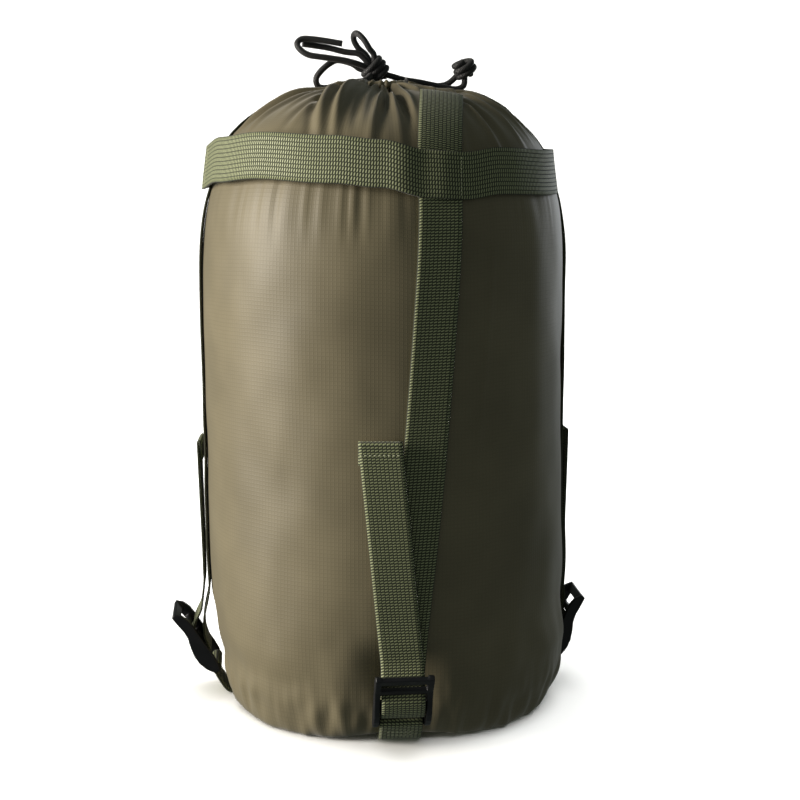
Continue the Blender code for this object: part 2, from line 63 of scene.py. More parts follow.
# Sack: 2 to 3 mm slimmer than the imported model, as the filled cloth is drawn in between its straps
SACK_R = 111.0 * MM
BASE_FLAT_R = 93.0 * MM
BASE_SEAM_Z = 4.8 * MM
CORNER_TOP_Z = 34 * MM
WALL_FULL_Z = 70 * MM
SHOULDER_R = 104.8 * MM
SHOULDER_Z = 318 * MM
WAIST_BLEND = 20 * MM
DOME_HEIGHT = 62.5 * MM
DOME_POWER = 2.2
MOUTH_R = 12.5 * MM
MOUTH_Z = 379.2 * MM
CORD_D = 3.8 * MM

# Webbing
WEB_WIDTH = 25 * MM
WEB = 1.3 * MM
FABRIC = 0.6 * MM
STITCH_THICK = 0.7 * MM
HOOP_BOTTOM_Z = 319 * MM
HOOP_HEIGHT = 26 * MM

SIDES = {"front": 0, "right": 90, "back": 180, "left": 270}
STRAP_SLANT = {"front": 12, "right": 2, "back": -3, "left": 0}
# Where the straps on the dome end: how far across, and how far from the sack's middle
DOME_STRAP_ENDS = {
    "front": (30 * MM, 52 * MM),
    "right": (26 * MM, 64 * MM),
    "back": (-24 * MM, 56 * MM),
    "left": (-26 * MM, 62 * MM),
}
TAIL_TOP_Z = {"front": 180 * MM, "right": 166 * MM, "back": 170 * MM, "left": 162 * MM}
TAIL_SLANT = {"front": -6, "right": 3, "back": 4, "left": -3}

# Each buckle's bottom bar, as (r, z), and how far the buckle leans out in degrees
BARS = {
    "front": (107.5 * MM, 15.5 * MM, 30),
    "right": (107.0 * MM, 19.5 * MM, 20),
    "back": (107.5 * MM, 15.5 * MM, 30),
    "left": (107.5 * MM, 18.5 * MM, 30),
}


# ---------------------------------------------------------------- materials

def linear(colour):
    """An sRGB hex colour as linear RGBA."""
    channels = [int(colour[start:start + 2], 16) / 255 for start in (1, 3, 5)]
    return [*(c / 12.92 if c <= 0.04045 else ((c + 0.055) / 1.055) ** 2.4 for c in channels), 1]


def add_node(tree, kind, inputs, **settings):
    """Adds a node; inputs maps its sockets to values or to other nodes' outputs."""
    made = tree.nodes.new(kind)
    for name, value in settings.items():
        setattr(made, name, value)
    for socket, value in inputs.items():
        if isinstance(value, bpy.types.NodeSocket):
            tree.links.new(value, made.inputs[socket])
        else:
            made.inputs[socket].default_value = value
    return made


def shader_of(name, roughness, **constants):
    """A new material, its node tree and its shader, with the constants set on the shader's own sockets."""
    material = bpy.data.materials.new(name)
    material.use_nodes = True
    shader = material.node_tree.nodes["Principled BSDF"]
    shader.inputs["Roughness"].default_value = roughness
    for socket, value in constants.items():
        shader.inputs[socket.replace("_", " ")].default_value = value
    return material, material.node_tree, shader


def maths(tree, operation, *values):
    """What a Math node makes of the values."""
    return add_node(tree, "ShaderNodeMath", dict(enumerate(values)), operation=operation).outputs[0]


def ramp(tree, value, low, high, to=(0.0, 1.0), **settings):
    """The value mapped from low to high onto a range, and held at its ends."""
    inputs = {0: value, 1: low, 2: high, 3: to[0], 4: to[1]}
    return add_node(tree, "ShaderNodeMapRange", inputs, **settings).outputs[0]


def blend(tree, share, first, second):
    """Two colours mixed, each a hex colour or another node's output."""
    inputs = {0: share}
    for socket, colour in ((6, first), (7, second)):
        inputs[socket] = linear(colour) if isinstance(colour, str) else colour
    return add_node(tree, "ShaderNodeMix", inputs, data_type="RGBA").outputs[2]


def speckle(tree, place, scale, detail):
    """Soft noise, so many times to the metre."""
    inputs = {"Vector": place, "Scale": scale, "Detail": detail}
    return add_node(tree, "ShaderNodeTexNoise", inputs).outputs[0]


def flat_place(tree):
    """Where a point lies on the flat cloth, in metres: as a vector, across and along."""
    flat = add_node(tree, "ShaderNodeUVMap", {}, uv_map="weave").outputs[0]
    axes = add_node(tree, "ShaderNodeSeparateXYZ", {0: flat})
    return flat, axes.outputs[0], axes.outputs[1]


def surface(tree, shader, colour, height, strength, distance):
    """Gives the shader its colour and the fine relief that the height makes."""
    tree.links.new(colour, shader.inputs["Base Color"])
    bump = add_node(tree, "ShaderNodeBump", {"Height": height, "Strength": strength, "Distance": distance})
    tree.links.new(bump.outputs[0], shader.inputs["Normal"])


def ripstop_nylon(name, colour, shade):
    """Calendered ripstop nylon: a soft satin, with a grid of thicker threads every few yarns."""
    line_pitch, line_half, line_fade = 2.3 * MM, 0.10 * MM, 0.42 * MM
    yarns_a_metre = (180, 2600, 1)
    line_share, yarn_share, yarn_relief = 0.11, 0.35, 0.3
    material, tree, shader = shader_of(name, 0.52, Sheen_Weight=0.35, Sheen_Roughness=0.4, IOR=1.53)
    flat, across, along = flat_place(tree)
    lines = []
    for axis in (across, along):
        away = maths(tree, "PINGPONG", axis, line_pitch / 2)
        lines.append(ramp(tree, away, line_half, line_fade, (1.0, 0.0)))
    grid = maths(tree, "MAXIMUM", *lines)
    stretched = add_node(tree, "ShaderNodeMapping", {0: flat, 3: yarns_a_metre}).outputs[0]
    yarn = speckle(tree, stretched, 1.0, 1.0)
    cloud = ramp(tree, speckle(tree, flat, 22.0, 3.0), 0.3, 0.7)
    plain = blend(tree, cloud, shade, colour)
    yarned = blend(tree, maths(tree, "MULTIPLY", yarn, yarn_share), plain, shade)
    lined = blend(tree, maths(tree, "MULTIPLY", grid, line_share), yarned, "#3d3a2b")
    relief = maths(tree, "MULTIPLY_ADD", yarn, yarn_relief, grid)
    surface(tree, shader, lined, relief, 0.28, 0.1 * MM)
    return material


def polyester_webbing(name, gap, pale_highlight, thread):
    """Woven polyester webbing: rows of raised, slightly slanting yarns, coloured pale as a painted highlight for
    their shine, against gaps painted dark as shade.
    """
    yarn_pitch, row_pitch, row_lean = 2.27 * MM, 1.65 * MM, -0.35
    yarn_edge, row_edge, rough_gap, rough_yarn = (0.02, 0.2), (0.14, 0.42), 0.8, 0.42
    material, tree, shader = shader_of(name, 0.5, Sheen_Weight=0.2, Sheen_Roughness=0.5, IOR=1.57)
    flat, across, along = flat_place(tree)
    yarns = maths(tree, "MULTIPLY", across, 1 / yarn_pitch)
    rows = maths(tree, "MULTIPLY", along, 1 / row_pitch)
    leaning = maths(tree, "MULTIPLY_ADD", maths(tree, "FRACT", yarns), row_lean, rows)
    tops = []
    for place, edge in ((yarns, yarn_edge), (leaning, row_edge)):
        tops.append(ramp(tree, maths(tree, "PINGPONG", place, 0.5), *edge, interpolation_type="SMOOTHSTEP"))
    dash = maths(tree, "MULTIPLY", *tops)
    # Painted highlight: the yarns' colour, two pale tones mixed by noise, stands in for their shine.
    yarn_highlight = blend(tree, speckle(tree, flat, 700.0, 2.0), thread, pale_highlight)
    tree.links.new(ramp(tree, dash, 0.0, 1.0, (rough_gap, rough_yarn)), shader.inputs["Roughness"])
    # Painted shade in the gaps between the yarns, painted highlight on the raised yarns.
    surface(tree, shader, blend(tree, dash, gap, yarn_highlight), dash, 0.7, 0.3 * MM)
    return material


def binding_tape(name, colour):
    """Grosgrain polyester tape: fine cross ribs, a dull shine."""
    rib_half = 0.45 * MM
    material, tree, shader = shader_of(name, 0.6, Sheen_Weight=0.2, Sheen_Roughness=0.5, IOR=1.53)
    along = flat_place(tree)[2]
    rib = ramp(tree, maths(tree, "PINGPONG", along, rib_half), 0.0, rib_half)
    # Painted shade: the valleys between the ribs, where the relief is low, are coloured dark.
    surface(tree, shader, blend(tree, rib, "#2d2b20", colour), rib, 0.5, 0.15 * MM)
    return material


def moulded_acetal(name):
    """Injection-moulded acetal: a smooth, slightly waxy black with a fine spark-eroded texture."""
    material, tree, shader = shader_of(name, 0.42, IOR=1.48)
    place = add_node(tree, "ShaderNodeTexCoord", {}).outputs["Object"]
    grain = speckle(tree, place, 1800.0, 2.0)
    scuff = speckle(tree, place, 120.0, 4.0)
    tree.links.new(ramp(tree, scuff, 0.3, 0.7, (0.36, 0.52)), shader.inputs["Roughness"])
    surface(tree, shader, blend(tree, scuff, "#0d0e11", "#191a1f"), grain, 0.25, 0.05 * MM)
    return material


def braided_cord(name):
    """Braided polyester cord: two sets of eight strands cross in small diamonds, black with a faint shine."""
    strand = pi * CORD_D / 8
    material, tree, shader = shader_of(name, 0.5, Sheen_Weight=0.3, Sheen_Roughness=0.5, IOR=1.57)
    around, along = flat_place(tree)[1:]
    lays = []
    for operation in ("ADD", "SUBTRACT"):
        lays.append(maths(tree, "PINGPONG", maths(tree, operation, around, along), strand / 2))
    top = ramp(tree, maths(tree, "MULTIPLY", *lays), 0.0, strand * strand / 5)
    # Painted shade: the grooves where the strands cross under, low in the relief, are coloured near black.
    surface(tree, shader, blend(tree, top, "#050506", "#1b1b1f"), top, 0.8, 0.25 * MM)
    return material


def polyester_thread(name, colour):
    """Twisted sewing thread: a soft shine on fine plies."""
    material, tree, shader = shader_of(name, 0.55, Sheen_Weight=0.2, IOR=1.53)
    place = add_node(tree, "ShaderNodeTexCoord", {}).outputs["Object"]
    ply = speckle(tree, place, 1500.0, 1.0)
    surface(tree, shader, blend(tree, ply, "#9fa283", colour), ply, 0.4, 0.1 * MM)
    return material


NYLON = ripstop_nylon("olive_ripstop_nylon", "#857b60", "#756c53")
# Webbing: a dark painted shade for the gaps, then two pale tones of painted highlight for the yarns.
WEBBING = polyester_webbing("olive_polyester_webbing", "#2f341f", "#d3d9a6", "#929b6a")
TAPE = binding_tape("olive_grosgrain_tape", "#5f5a43")
ACETAL = moulded_acetal("black_moulded_acetal")
CORD = braided_cord("black_braided_polyester")
THREAD = polyester_thread("olive_sewing_thread", "#d4d7b8")


# ---------------------------------------------------------------- shapes

def smooth_step(share):
    share = min(max(share, 0), 1)
    return share * share * (3 - 2 * share)


def along_points(points, where):
    """The value at a place on a run of (place, value) pairs, eased between neighbours."""
    for (start, low), (end, high) in zip(points, points[1:]):
        if where <= end:
            return low + (high - low) * smooth_step((where - start) / (end - start))
    return points[-1][1]


def from_front(angle):
    """The angle in degrees between -180 and 180."""
    return (angle * 180 / pi + 180) % 360 - 180


def place_at(angle, r, z):
    return Vector((r * sin(angle), -r * cos(angle), z))


def object_from(bm, name, material, body):
    mesh = bpy.data.meshes.new(name)
    bm.to_mesh(mesh)
    bm.free()
    mesh.shade_smooth()
    mesh.materials.append(material)
    made = bpy.data.objects.new(name, mesh)
    bpy.context.scene.collection.objects.link(made)
    if body:
        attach(made, body)
    return made


def woven(name, flat, cells, lay, material, body, closed=False):
    """A flat grid of cloth whose point at share (u, v) goes to lay(u, v); its UV map keeps flat metres."""
    bm = bmesh.new()
    bmesh.ops.create_grid(bm, x_segments=cells[0], y_segments=cells[1], size=0.5)
    weave = bm.loops.layers.uv.new("weave")
    for face in bm.faces:
        for loop in face.loops:
            loop[weave].uv = ((loop.vert.co.x + 0.5) * flat[0], (loop.vert.co.y + 0.5) * flat[1])
    for vert in bm.verts:
        vert.co = lay(vert.co.x + 0.5, vert.co.y + 0.5)
    if closed:
        bmesh.ops.remove_doubles(bm, verts=bm.verts, dist=MERGE)
        bmesh.ops.recalc_face_normals(bm, faces=bm.faces)
    return object_from(bm, name, material, body)


def thicken(piece, thickness, offset=0):
    wall = piece.modifiers.new("wall", "SOLIDIFY")
    wall.thickness = thickness
    wall.offset = offset
    wall.use_even_offset = offset == 0


def smooth_route(points, step):
    """Points about a step apart on the smooth curve through the route's own points."""
    known = [Vector(point) for point in points]
    ends = [2 * known[0] - known[1], *known, 2 * known[-1] - known[-2]]
    route = []
    for before, start, end, after in zip(ends, ends[1:], ends[2:], ends[3:]):
        count = max(1, round((end - start).length / step))
        for t in (index / count for index in range(count)):
            bend, twist = 2 * before - 5 * start + 4 * end - after, 3 * start - before - 3 * end + after
            route.append(((2 * start) + (end - before) * t + bend * t * t + twist * t ** 3) / 2)
    return [*route, known[-1]]


def length_of(points):
    return sum((end - start).length for start, end in zip(points, points[1:]))


def spaced(route, step):
    """The same route with its points evenly spaced, about a step apart."""
    count = max(2, round(length_of(route) / step))
    gap = length_of(route) / count
    points, passed, index = [route[0]], 0, 0
    for number in range(1, count):
        while passed + (route[index + 1] - route[index]).length < number * gap:
            passed += (route[index + 1] - route[index]).length
            index += 1
        share = (number * gap - passed) / (route[index + 1] - route[index]).length
        points.append(route[index].lerp(route[index + 1], share))
    return [*points, route[-1]]


def sewn(name, stitches, material, body):
    """Thread seen from outside: one low rounded stitch for each (start, end, outward) given."""
    bm = bmesh.new()
    for start, end, outward in stitches:
        along = (end - start).normalized()
        across = outward.cross(along).normalized()
        turn = Matrix((along, across, along.cross(across))).transposed().to_4x4()
        made = bmesh.ops.create_uvsphere(bm, u_segments=10, v_segments=7, radius=1)["verts"]
        size = Matrix.Diagonal(((end - start).length / 2, STITCH_THICK / 2, STITCH_THICK / 2, 1))
        bmesh.ops.transform(bm, verts=made, matrix=Matrix.Translation((start + end) / 2) @ turn @ size)
    return object_from(bm, name, material, body)


def round_cord(name, route, diameter, material, body, sides=14):
    """A closed round tube along a route, with its UV map in metres round and along it."""
    bm = bmesh.new()
    bmesh.ops.create_grid(bm, x_segments=sides, y_segments=len(route) - 1, size=0.5)
    weave = bm.loops.layers.uv.new("weave")
    long = length_of(route)
    for face in bm.faces:
        for loop in face.loops:
            loop[weave].uv = ((loop.vert.co.x + 0.5) * pi * diameter, (loop.vert.co.y + 0.5) * long)
    last = len(route) - 1
    ahead = [(route[min(i + 1, last)] - route[max(i - 1, 0)]).normalized() for i in range(last + 1)]
    side = ahead[0].orthogonal().normalized()
    frames = []
    for direction in ahead:
        side = (side - direction * side.dot(direction)).normalized()
        frames.append((side, direction.cross(side)))
    for vert in bm.verts:
        turn, step = (vert.co.x + 0.5) * 2 * pi, round((vert.co.y + 0.5) * last)
        first, second = frames[step]
        vert.co = route[step] + (first * cos(turn) + second * sin(turn)) * diameter / 2
    bmesh.ops.remove_doubles(bm, verts=bm.verts, dist=MERGE)
    rims = [edge for edge in bm.edges if edge.is_boundary]
    bmesh.ops.holes_fill(bm, edges=rims, sides=sides + 1)
    bmesh.ops.recalc_face_normals(bm, faces=bm.faces)
    return object_from(bm, name, material, body)


# ---------------------------------------------------------------- camera and light

CAMERA_TURN = radians(-5.7)
CAMERA_AWAY = 0.93
CAMERA_HEIGHT = 0.3405
CAMERA_PITCH = radians(9.44)
CAMERA_ASIDE = 0.0102
LENS = 67.43


def add_camera():
    camera = bpy.data.objects.new("camera", bpy.data.cameras.new("camera"))
    camera.data.lens = LENS
    camera.data.sensor_width = 36
    camera.data.clip_start = 0.05
    turn = Matrix.Rotation(CAMERA_TURN, 4, "Z")
    camera.location = turn @ Vector((CAMERA_ASIDE, -CAMERA_AWAY, CAMERA_HEIGHT))
    camera.rotation_euler = (pi / 2 - CAMERA_PITCH, 0, CAMERA_TURN)
    bpy.context.scene.collection.objects.link(camera)
    bpy.context.scene.camera = camera


def add_softbox(name, place, aim, size, power, colour):
    light = bpy.data.lights.new(name, "AREA")
    light.shape = "RECTANGLE"
    light.size, light.size_y = size
    light.energy = power
    light.color = linear(colour)[:3]
    lamp = bpy.data.objects.new(name, light)
    lamp.location = place
    lamp.rotation_euler = (Vector(aim) - Vector(place)).to_track_quat("-Z", "Y").to_euler()
    bpy.context.scene.collection.objects.link(lamp)
    return lamp


# Half of the studio's section from the middle of its floor out and up, as (distance, height)
SWEEP = [(0, 0), (0.7, 0), (1.8, 0), (2.1, 0.05), (2.35, 0.2), (2.55, 0.5), (2.65, 1.0), (2.65, 3.2)]
SWEEP_STEPS = 128
# Softboxes: where, what they face, size, watts, colour
SACK_LIGHTS = {
    "key_softbox": ((-1.8, -0.28, 0.6), (0, 0, 0.2), (0.8, 1.1), 54, "#fff8ee"),
    "back_softbox": ((1.3, 1.6, 0.4), (0, 0, 0.2), (0.9, 0.9), 8, "#f6faff"),
}
PAPER_LIGHTS = {
    "paper_light_back": ((0, 0.4, 2.6), (0, 2.2, 0.6), (3.0, 1.0), 78, "#ffffff"),
    "paper_light_top": ((0, -0.2, 2.6), (0, -0.2, 0), (4.5, 4.0), 130, "#ffffff"),
}
SKY, SKY_STRENGTH = "#e6f2ea", 0.13


def add_studio():
    """A round white sweep with its own lights; one big softbox on the sack's left leaves its right dark."""
    bm = bmesh.new()
    line = [bm.verts.new((0, y, z)) for y, z in SWEEP]
    edges = [bm.edges.new(pair) for pair in zip(line, line[1:])]
    bmesh.ops.spin(bm, geom=line + edges, cent=(0, 0, 0), axis=(0, 0, 1), angle=2 * pi, steps=SWEEP_STEPS)
    bmesh.ops.remove_doubles(bm, verts=bm.verts, dist=MERGE)
    bmesh.ops.recalc_face_normals(bm, faces=bm.faces)
    mesh = bpy.data.meshes.new("studio_floor")
    bm.to_mesh(mesh)
    bm.free()
    mesh.shade_smooth()
    material, _, shader = shader_of("matt_white_paper", 0.9)
    shader.inputs["Base Color"].default_value = linear("#f4f4f2")
    mesh.materials.append(material)
    floor = bpy.data.objects.new("studio_floor", mesh)
    bpy.context.scene.collection.objects.link(floor)
    floor.visible_diffuse = floor.visible_glossy = False
    paper = bpy.data.collections.new("paper_only")
    paper.objects.link(floor)

    world = bpy.data.worlds.new("studio")
    world.use_nodes = True
    background = world.node_tree.nodes["Background"]
    background.inputs["Color"].default_value = linear(SKY)
    background.inputs["Strength"].default_value = SKY_STRENGTH
    bpy.context.scene.world = world
    bpy.context.scene.view_settings.view_transform = "Standard"

    for name, settings in SACK_LIGHTS.items():
        add_softbox(name, *settings)
    for name, settings in PAPER_LIGHTS.items():
        add_softbox(name, *settings).light_linking.receiver_collection = paper


add_camera()
add_studio()


# ---------------------------------------------------------------- drawcord

# Points along each cord that can be seen, in metres
CORD_ROUTES = {
    "drawcord_arch": [
        (-0.0106, 0.0124, 0.3832), (-0.0182, 0.0200, 0.3823), (-0.0267, 0.0262, 0.3804),
        (-0.0344, 0.0265, 0.3792), (-0.0387, 0.0228, 0.3803), (-0.0397, 0.0208, 0.3849),
        (-0.0354, 0.0210, 0.3906), (-0.0292, 0.0218, 0.3950), (-0.0249, 0.0222, 0.3957),
        (-0.0174, 0.0228, 0.3938), (-0.0121, 0.0232, 0.3905),
    ],
    "drawcord_run_lower": [
        (0.0152, 0.0112, 0.3833), (0.0233, 0.0160, 0.3825), (0.0318, 0.0185, 0.3810),
        (0.0403, 0.0190, 0.3795), (0.0468, 0.0190, 0.3784), (0.0511, 0.0191, 0.3797),
        (0.0526, 0.0196, 0.3822),
    ],
    "drawcord_run_upper": [
        (0.0436, 0.0224, 0.3826), (0.0388, 0.0232, 0.3808), (0.0303, 0.0240, 0.3808),
        (0.0218, 0.0236, 0.3824), (0.0113, 0.0228, 0.3852), (0.0061, 0.0224, 0.3866),
    ],
    "drawcord_bow_loop": [
        (-0.0087, 0.0258, 0.3996), (-0.0132, 0.0264, 0.4035), (-0.0160, 0.0258, 0.4085),
        (-0.0158, 0.0225, 0.4118), (-0.0137, 0.0185, 0.4115), (-0.0100, 0.0168, 0.4075),
        (-0.0067, 0.0175, 0.4023), (-0.0042, 0.0190, 0.3994),
    ],
    "drawcord_end_long": [
        (-0.0124, 0.0178, 0.3928), (-0.0182, 0.0165, 0.3944), (-0.0249, 0.0160, 0.3958),
        (-0.0373, 0.0155, 0.3974), (-0.0447, 0.0155, 0.3986), (-0.0497, 0.0163, 0.4018),
        (-0.0514, 0.0180, 0.4054), (-0.0487, 0.0192, 0.4082), (-0.0435, 0.0192, 0.4084),
        (-0.0348, 0.0190, 0.4074), (-0.0236, 0.0188, 0.4056),
    ],
    "drawcord_end_short": [
        (-0.0107, 0.0215, 0.3977), (-0.0142, 0.0215, 0.4000), (-0.0218, 0.0222, 0.4009),
        (-0.0314, 0.0228, 0.4032), (-0.0402, 0.0228, 0.4046), (-0.0482, 0.0228, 0.4056),
    ],
}
CORD_STEP = 1.5 * MM
# A cord's end this near a knot's middle is carried on by this share of the way to it
KNOT_REACH = 14 * MM
KNOT_CARRY = 0.6
KNOT_CORD_D = CORD_D * 0.98
# Wound knots: middle, direction of the winding's axis, half width and depth of a turn, rise per turn, turns
KNOTS = {
    "slip_knot": ((-0.0029, 0.0215, 0.3893), (-0.62, -0.12, 0.78), (7.0, 4.2), 3.7, 3.4),
    "stopper_knot": ((0.0528, 0.0205, 0.3911), (-0.42, -0.25, 0.87), (5.6, 4.4), 3.6, 2.8),
}
KNOT_POINTS_A_TURN = 20


def knot_route(middle, axis, half_sizes, rise, turns):
    """A cord wound round itself: its ends are tucked back into the winding."""
    up = Vector(axis).normalized()
    across = up.cross(Vector((0, -1, 0))).normalized()
    deep = up.cross(across)
    count = round(turns * KNOT_POINTS_A_TURN)
    route = []
    for index in range(count + 1):
        turn = (index / KNOT_POINTS_A_TURN) * 2 * pi
        lift = (index / count - 0.5) * rise * turns
        tuck = 0.35 + 0.65 * smooth_step(min(index, count - index) / (KNOT_POINTS_A_TURN * 0.3))
        wander = 1 + 0.12 * noise.noise(Vector((index * 0.13, turns, rise)))
        route.append(Vector(middle) + (across * cos(turn) * half_sizes[0] + deep * sin(turn) * half_sizes[1])
                     * MM * tuck * wander + up * lift * MM)
    return route


def into_knots(points):
    """A cord's points with its ends carried on into the knot that they lie beside."""
    carried = list(points)
    for middle, *_ in KNOTS.values():
        for end in (0, -1):
            tip = Vector(points[end])
            away = Vector(middle) - tip
            if away.length < KNOT_REACH:
                inner = tuple(tip + away * KNOT_CARRY)
                carried = [inner, *carried] if end == 0 else [*carried, inner]
    return carried


def make_drawcord():
    knots = {}
    for name, winding in KNOTS.items():
        route = knot_route(*winding)
        knots[name] = round_cord(name + "_winding", route, KNOT_CORD_D, CORD, "top")
        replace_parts(knots[name], name)
    for name, points in CORD_ROUTES.items():
        route = smooth_route(into_knots(points), CORD_STEP)
        piece = round_cord(name + "_braid", route, CORD_D, CORD, "top")
        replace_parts(piece, name)
        round(length_of(route), 4)


make_drawcord()


# ---------------------------------------------------------------- sack

# How far the hoop stands above (+) or below (-) its level place, in mm, by angle in degrees
HOOP_RISE = [(-180, 0), (-130, 2), (-90, -1.5), (-68, 3.5), (-46, 6), (-20, 4), (-6, 1.8), (8, -3.8),
             (20, -5), (32, -2.5), (60, -4), (90, -3.5), (130, 1.5), (180, 0)]
# How far the hoop stands off its round place, in mm: it stands proud where the side straps pull it
HOOP_PROUD = [(-180, 1), (-140, -1.5), (-108, -0.5), (-92, 1.5), (-76, -0.5), (-45, -1), (-6, 0), (1, 1.5),
              (7, 0), (13, 0.9), (25, 0), (50, -1.5), (76, -2.4), (92, -3.2), (110, -2.5), (145, -1.5),
              (180, 1)]
WALL_FOOT_Z, WALL_FOOT_R = 23.5 * MM, 108.4 * MM


def shoulder_rise(angle):
    return along_points(HOOP_RISE, from_front(angle)) * MM


def wall_r(z):
    """The sack's radius at a height, before its dents and folds."""
    if z < WALL_FULL_Z:
        share = max(z - WALL_FOOT_Z, 0) / (WALL_FULL_Z - WALL_FOOT_Z)
        return WALL_FOOT_R + (SACK_R - WALL_FOOT_R) * sin(share * pi / 2)
    return SACK_R - (SACK_R - SHOULDER_R) * exp((z - SHOULDER_Z) / WAIST_BLEND)


def lobe(angle):
    """0 behind a strap, 1 midway between two, where the fabric bulges out and sags to the floor."""
    return (1 - cos(4 * angle)) / 2


def near(angle, middle, width):
    """A bell about an angle, both in degrees."""
    return exp(-(((from_front(angle) - middle + 180) % 360 - 180) / width) ** 2)


# Bulges (+) and hollows (-) in mm, each with its middle and half width in degrees. The low ones start at a height
# and grow to full over the depth below it; the others are full at a height and fade either way.
LOW_BULGES = [(-5.8, -90, 45, 0.052, 0.03), (6.0, 72, 42, 0.070, 0.03)]
WALL_BULGES = [(3.2, 62, 34, 0.088, 0.05), (-2.0, -88, 26, 0.062, 0.036)]
# Grooves that the buckles press into the wall: angle and depth in mm, and half width in degrees
GROOVES = ((0, 6.8), (90, 6.8), (180, 6.8), (-90, 4.5))
GROOVE_WIDTH = 12
# Sizes in mm of the wrinkles, from the broadest to the finest
BROAD, SMALL, PLEATED, GATHERED, FOLDED, CREASED = 1.6, 0.7, 1.1, 2.0, 1.1, 0.55


def round_noise(angle, times, height):
    """Smooth noise that closes round the sack, and is finer with more times."""
    return noise.noise(Vector((sin(angle) * times, cos(angle) * times, height)))


def dents(angle, z):
    """How far the filled sack's wall stands out from round, in metres."""
    around = Vector((sin(angle), -cos(angle)))
    share = z / SHOULDER_Z

    def wrinkle(times, height):
        return noise.noise(Vector((*(around * times), height)))

    out = BROAD * wrinkle(1.6, z * 9) + SMALL * wrinkle(5, z * 30)
    for size, middle, width, ends, fade in LOW_BULGES:
        out += size * near(angle, middle, width) * smooth_step((ends - z) / fade)
    for size, middle, width, level, fade in WALL_BULGES:
        out += size * near(angle, middle, width) * exp(-((z - level) / fade) ** 2)
    for middle, depth in GROOVES:
        groove = smooth_step((0.070 - z) / 0.024) * smooth_step((z - 0.004) / 0.009)
        out -= depth * near(angle, middle, GROOVE_WIDTH) * groove
    # Upright pleats gathered under the hoop, and crossing creases above the seam round the base.
    upright = abs(wrinkle(15, 1.7)) * 2 - 0.35
    out -= PLEATED * upright * smooth_step((share - 0.89) / 0.1) * (0.3 + 0.7 * near(angle, -18, 30))
    out += GATHERED * wrinkle(21, z * 26 + 5) * smooth_step((0.045 - z) / 0.035)
    out += FOLDED * wrinkle(7, z * 40 + angle * 2) * smooth_step((0.09 - z) / 0.05) * smooth_step(z / 0.02)
    # One pressed crease from the folded cloth, over the middle half of the wall.
    crease = near(angle, 26 + 14 * (share - 0.7), 1.0)
    out += CREASED * crease * smooth_step((share - 0.45) / 0.1) * smooth_step((0.95 - share) / 0.1)
    return out * MM


# The side fabric: the share of it that turns round the lower corner, how round the corner is, how far it sags
# between the straps, and its top edge under the hoop
CORNER_SHARE = 0.135
CORNER_ROUND = 0.86
SAG = 7.5 * MM
SIDE_TOP_Z = 323 * MM


def side_place(u, v):
    """The side fabric, from the base seam (v 0) to under the hoop (v 1)."""
    angle = (u * 2 - 1) * pi
    if v > CORNER_SHARE:
        top = SIDE_TOP_Z + shoulder_rise(angle) * 0.8
        z = CORNER_TOP_Z + (top - CORNER_TOP_Z) * (v - CORNER_SHARE) / (1 - CORNER_SHARE)
        return place_at(angle, wall_r(z) + dents(angle, z), z)
    turn = v / CORNER_SHARE * pi / 2
    corner_r = wall_r(CORNER_TOP_Z) + dents(angle, CORNER_TOP_Z)
    r = BASE_FLAT_R + (corner_r - BASE_FLAT_R) * sin(turn) ** CORNER_ROUND
    z = BASE_SEAM_Z + (CORNER_TOP_Z - BASE_SEAM_Z) * (1 - cos(turn) ** CORNER_ROUND)
    share = v / CORNER_SHARE
    z -= SAG * lobe(angle) ** 0.5 * sin(min(share / 0.64, 1) * pi)
    wave = round_noise(angle, 17, share * 2.5)
    out = wave * 2.2 * MM * sin(share * pi)
    return place_at(angle, r + out, max(z - abs(out) * 0.3 + 0.2 * MM, 0.5 * MM))


# Pleats of the gathered dome, in degrees and mm: angle at the hoop, turn towards the mouth, radius where it starts
# and height. Those that start beyond the hoop come out from under it, partly grown.
FRONT_PLEATS = [
    (-62, 14, 100, 1.2), (-52, 6, 88, 1.0), (-43, 2, 99, -1.3), (-29, 24, 106, -2.4), (-25, 20, 106, 2.0),
    (-21, 11, 106, 2.2), (-15, 5, 100, -1.2), (-9.8, -4, 107, 2.4), (-4, 0, 80, -1.6), (1, 1, 107, 1.4),
    (6, 2, 95, -2.6), (22.5, -1, 107, 2.0), (27, 0, 96, -1.2), (37, -2, 106, 2.6), (41, -2, 100, -1.4),
    (52, -4, 104, 1.4), (63, -6, 100, 1.6), (75, -6, 100, -1.6),
]
BEYOND_HOOP = 106
UNDER_HOOP = 0.35
BACK_PLEATS = [(degrees_round, 10 * sin(degrees_round * 7.0), 90 + 16 * abs(sin(degrees_round * 3.1)),
                2.0 * (1 if index % 2 else -0.9)) for index, degrees_round in enumerate(range(84, 292, 8))]


def grown(starts, r):
    """How much of its height a pleat has at a radius."""
    if starts < BEYOND_HOOP:
        return smooth_step((starts * MM - r) / (26 * MM))
    return UNDER_HOOP + 0.65 * smooth_step((98 * MM - r) / (40 * MM))


